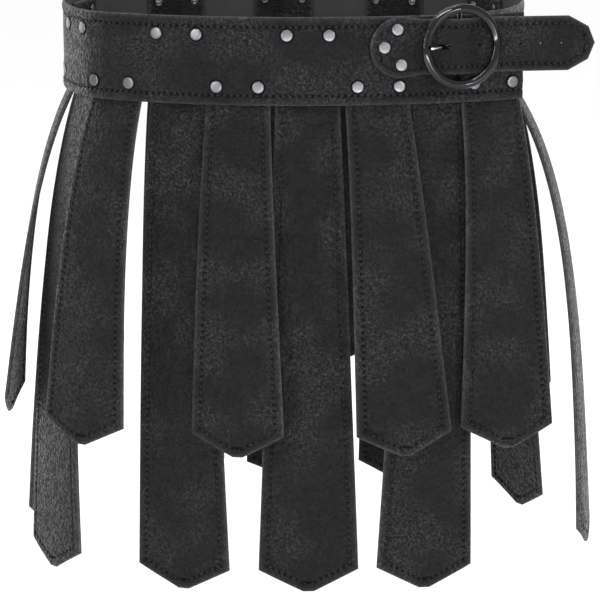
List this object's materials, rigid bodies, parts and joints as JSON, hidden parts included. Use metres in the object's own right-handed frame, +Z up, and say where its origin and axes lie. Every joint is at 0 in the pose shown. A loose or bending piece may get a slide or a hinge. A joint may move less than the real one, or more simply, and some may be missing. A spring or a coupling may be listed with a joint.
{
  "type": "leather armour skirt",
  "caption": "Leather armour skirt: a riveted waistband with two tiers of pointed hanging straps, closed at the front by a tongue through a centre-bar ring buckle.",
  "frame": {"origin": "centre of the waist opening, at the middle height of the waistband", "axes": "+Z up along the body, -Y to the front of the wearer, +X to the viewer's right (the wearer's left)"},
  "size_m": [0.4593, 0.3278, 0.4384],
  "materials": {
    "black_leather": "satin, fine grain",
    "leather_back": "matt suede side",
    "gunmetal": "satin gunmetal",
    "black_nickel": "glossy black nickel",
    "bright_steel": "bright polished"
  },
  "bodies": {
    "belt": {"waistband": "black_leather", "waistband_lining": "leather_back", "long_strap_heads": "black_leather", "short_strap_heads": "black_leather", "upper_rivets": "gunmetal", "lower_rivets": "gunmetal", "rivet_backs": "gunmetal", "tongue": "black_leather", "tongue_rivets": "gunmetal", "chape": "black_leather", "chape_rivets": "gunmetal"},
    "long_strap_1": {"long_strap_1": "black_leather"},
    "long_strap_2": {"long_strap_2": "black_leather"},
    "long_strap_3": {"long_strap_3": "black_leather"},
    "long_strap_4": {"long_strap_4": "black_leather"},
    "long_strap_5": {"long_strap_5": "black_leather"},
    "long_strap_6": {"long_strap_6": "black_leather"},
    "long_strap_7": {"long_strap_7": "black_leather"},
    "long_strap_8": {"long_strap_8": "black_leather"},
    "long_strap_9": {"long_strap_9": "black_leather"},
    "long_strap_10": {"long_strap_10": "black_leather"},
    "short_strap_1": {"short_strap_1": "black_leather"},
    "short_strap_2": {"short_strap_2": "black_leather"},
    "short_strap_3": {"short_strap_3": "black_leather"},
    "short_strap_4": {"short_strap_4": "black_leather"},
    "short_strap_5": {"short_strap_5": "black_leather"},
    "short_strap_6": {"short_strap_6": "black_leather"},
    "short_strap_7": {"short_strap_7": "black_leather"},
    "short_strap_8": {"short_strap_8": "black_leather"},
    "short_strap_9": {"short_strap_9": "black_leather"},
    "short_strap_10": {"short_strap_10": "black_leather"},
    "tongue_end": {"tongue_tip": "black_leather"},
    "buckle": {"buckle_ring": "black_nickel"},
    "prong": {"buckle_prong": "bright_steel"}
  },
  "joints": [
    {"name": "long_strap_1_swing", "type": "hinge", "parent": "belt", "child": "long_strap_1", "pos_m": [0.10388, -0.10436, -0.0325], "axis": [-0.9638, -0.2667, 0], "range_deg": [-8, 0], "stiffness_Nm_per_rad": 0.27, "springref_deg": 4.01},
    {"name": "long_strap_2_swing", "type": "hinge", "parent": "belt", "child": "long_strap_2", "pos_m": [0.01071, -0.11824, -0.0325], "axis": [-0.9996, -0.0275, 0], "range_deg": [-8, 0], "stiffness_Nm_per_rad": 0.27, "springref_deg": 4.01},
    {"name": "long_strap_3_swing", "type": "hinge", "parent": "belt", "child": "long_strap_3", "pos_m": [-0.0825, -0.10572, -0.0325], "axis": [-0.9553, 0.2955, 0], "range_deg": [-8, 0], "stiffness_Nm_per_rad": 0.27, "springref_deg": 4.01},
    {"name": "long_strap_4_swing", "type": "hinge", "parent": "belt", "child": "long_strap_4", "pos_m": [-0.15274, -0.05611, -0.0325], "axis": [-0.4075, 0.9132, 0], "range_deg": [-8, 0], "stiffness_Nm_per_rad": 0.27, "springref_deg": 4.01},
    {"name": "long_strap_5_swing", "type": "hinge", "parent": "belt", "child": "long_strap_5", "pos_m": [-0.1592, 0.04045, -0.0325], "axis": [0.2926, 0.9562, 0], "range_deg": [-8, 0], "stiffness_Nm_per_rad": 0.27, "springref_deg": 4.01},
    {"name": "long_strap_6_swing", "type": "hinge", "parent": "belt", "child": "long_strap_6", "pos_m": [-0.0934, 0.1021, -0.0325], "axis": [0.9424, 0.3345, 0], "range_deg": [-8, 0], "stiffness_Nm_per_rad": 0.27, "springref_deg": 4.01},
    {"name": "long_strap_7_swing", "type": "hinge", "parent": "belt", "child": "long_strap_7", "pos_m": [-0.00811, 0.11807, -0.0325], "axis": [0.9996, 0.029, 0], "range_deg": [-8, 0], "stiffness_Nm_per_rad": 0.27, "springref_deg": 4.01},
    {"name": "long_strap_8_swing", "type": "hinge", "parent": "belt", "child": "long_strap_8", "pos_m": [0.08027, 0.1064, -0.0325], "axis": [0.9578, -0.2875, 0], "range_deg": [-8, 0], "stiffness_Nm_per_rad": 0.27, "springref_deg": 4.01},
    {"name": "long_strap_9_swing", "type": "hinge", "parent": "belt", "child": "long_strap_9", "pos_m": [0.14471, 0.06624, -0.0325], "axis": [0.4904, -0.8715, 0], "range_deg": [-8, 0], "stiffness_Nm_per_rad": 0.27, "springref_deg": 4.01},
    {"name": "long_strap_10_swing", "type": "hinge", "parent": "belt", "child": "long_strap_10", "pos_m": [0.16459, -0.01345, -0.0325], "axis": [-0.0973, -0.9953, 0], "range_deg": [-8, 0], "stiffness_Nm_per_rad": 0.27, "springref_deg": 4.01},
    {"name": "short_strap_1_swing", "type": "hinge", "parent": "belt", "child": "short_strap_1", "pos_m": [0.147, -0.09703, -0.0325], "axis": [-0.9287, -0.3709, 0], "range_deg": [0, 55], "stiffness_Nm_per_rad": 0.2},
    {"name": "short_strap_2_swing", "type": "hinge", "parent": "belt", "child": "short_strap_2", "pos_m": [0.06216, -0.1204, -0.0325], "axis": [-0.9876, -0.1569, 0], "range_deg": [0, 55], "stiffness_Nm_per_rad": 0.2},
    {"name": "short_strap_3_swing", "type": "hinge", "parent": "belt", "child": "short_strap_3", "pos_m": [-0.04034, -0.12244, -0.0325], "axis": [-0.99, 0.1409, 0], "range_deg": [0, 55], "stiffness_Nm_per_rad": 0.2},
    {"name": "short_strap_4_swing", "type": "hinge", "parent": "belt", "child": "short_strap_4", "pos_m": [-0.13377, -0.09213, -0.0325], "axis": [-0.8825, 0.4703, 0], "range_deg": [0, 55], "stiffness_Nm_per_rad": 0.2},
    {"name": "short_strap_5_swing", "type": "hinge", "parent": "belt", "child": "short_strap_5", "pos_m": [-0.17271, -0.01311, -0.0325], "axis": [-0.0896, 0.996, 0], "range_deg": [0, 55], "stiffness_Nm_per_rad": 0.2},
    {"name": "short_strap_6_swing", "type": "hinge", "parent": "belt", "child": "short_strap_6", "pos_m": [-0.14434, 0.08464, -0.0325], "axis": [0.7366, 0.6763, 0], "range_deg": [0, 55], "stiffness_Nm_per_rad": 0.2},
    {"name": "short_strap_7_swing", "type": "hinge", "parent": "belt", "child": "short_strap_7", "pos_m": [-0.05244, 0.12046, -0.0325], "axis": [0.9831, 0.1832, 0], "range_deg": [0, 55], "stiffness_Nm_per_rad": 0.2},
    {"name": "short_strap_8_swing", "type": "hinge", "parent": "belt", "child": "short_strap_8", "pos_m": [0.03797, 0.12277, -0.0325], "axis": [0.9912, -0.1326, 0], "range_deg": [0, 55], "stiffness_Nm_per_rad": 0.2},
    {"name": "short_strap_9_swing", "type": "hinge", "parent": "belt", "child": "short_strap_9", "pos_m": [0.12237, 0.09783, -0.0325], "axis": [0.904, -0.4274, 0], "range_deg": [0, 55], "stiffness_Nm_per_rad": 0.2},
    {"name": "short_strap_10_swing", "type": "hinge", "parent": "belt", "child": "short_strap_10", "pos_m": [0.16958, 0.03277, -0.0325], "axis": [0.224, -0.9746, 0], "range_deg": [0, 55], "stiffness_Nm_per_rad": 0.2},
    {"name": "tongue_bend", "type": "hinge", "parent": "belt", "child": "tongue_end", "pos_m": [0.15327, -0.10442, 0.01], "axis": [0, 0, -1], "range_deg": [-8, 35], "stiffness_Nm_per_rad": 0.12},
    {"name": "buckle_rock", "type": "hinge", "parent": "belt", "child": "buckle", "pos_m": [0.12154, -0.11507, 0.01], "axis": [0, 0, -1], "range_deg": [0, 2.5]},
    {"name": "prong_lift", "type": "hinge", "parent": "buckle", "child": "prong", "pos_m": [0.12154, -0.11507, 0.01], "axis": [0, 0, 1], "range_deg": [0, 8]}
  ]
}
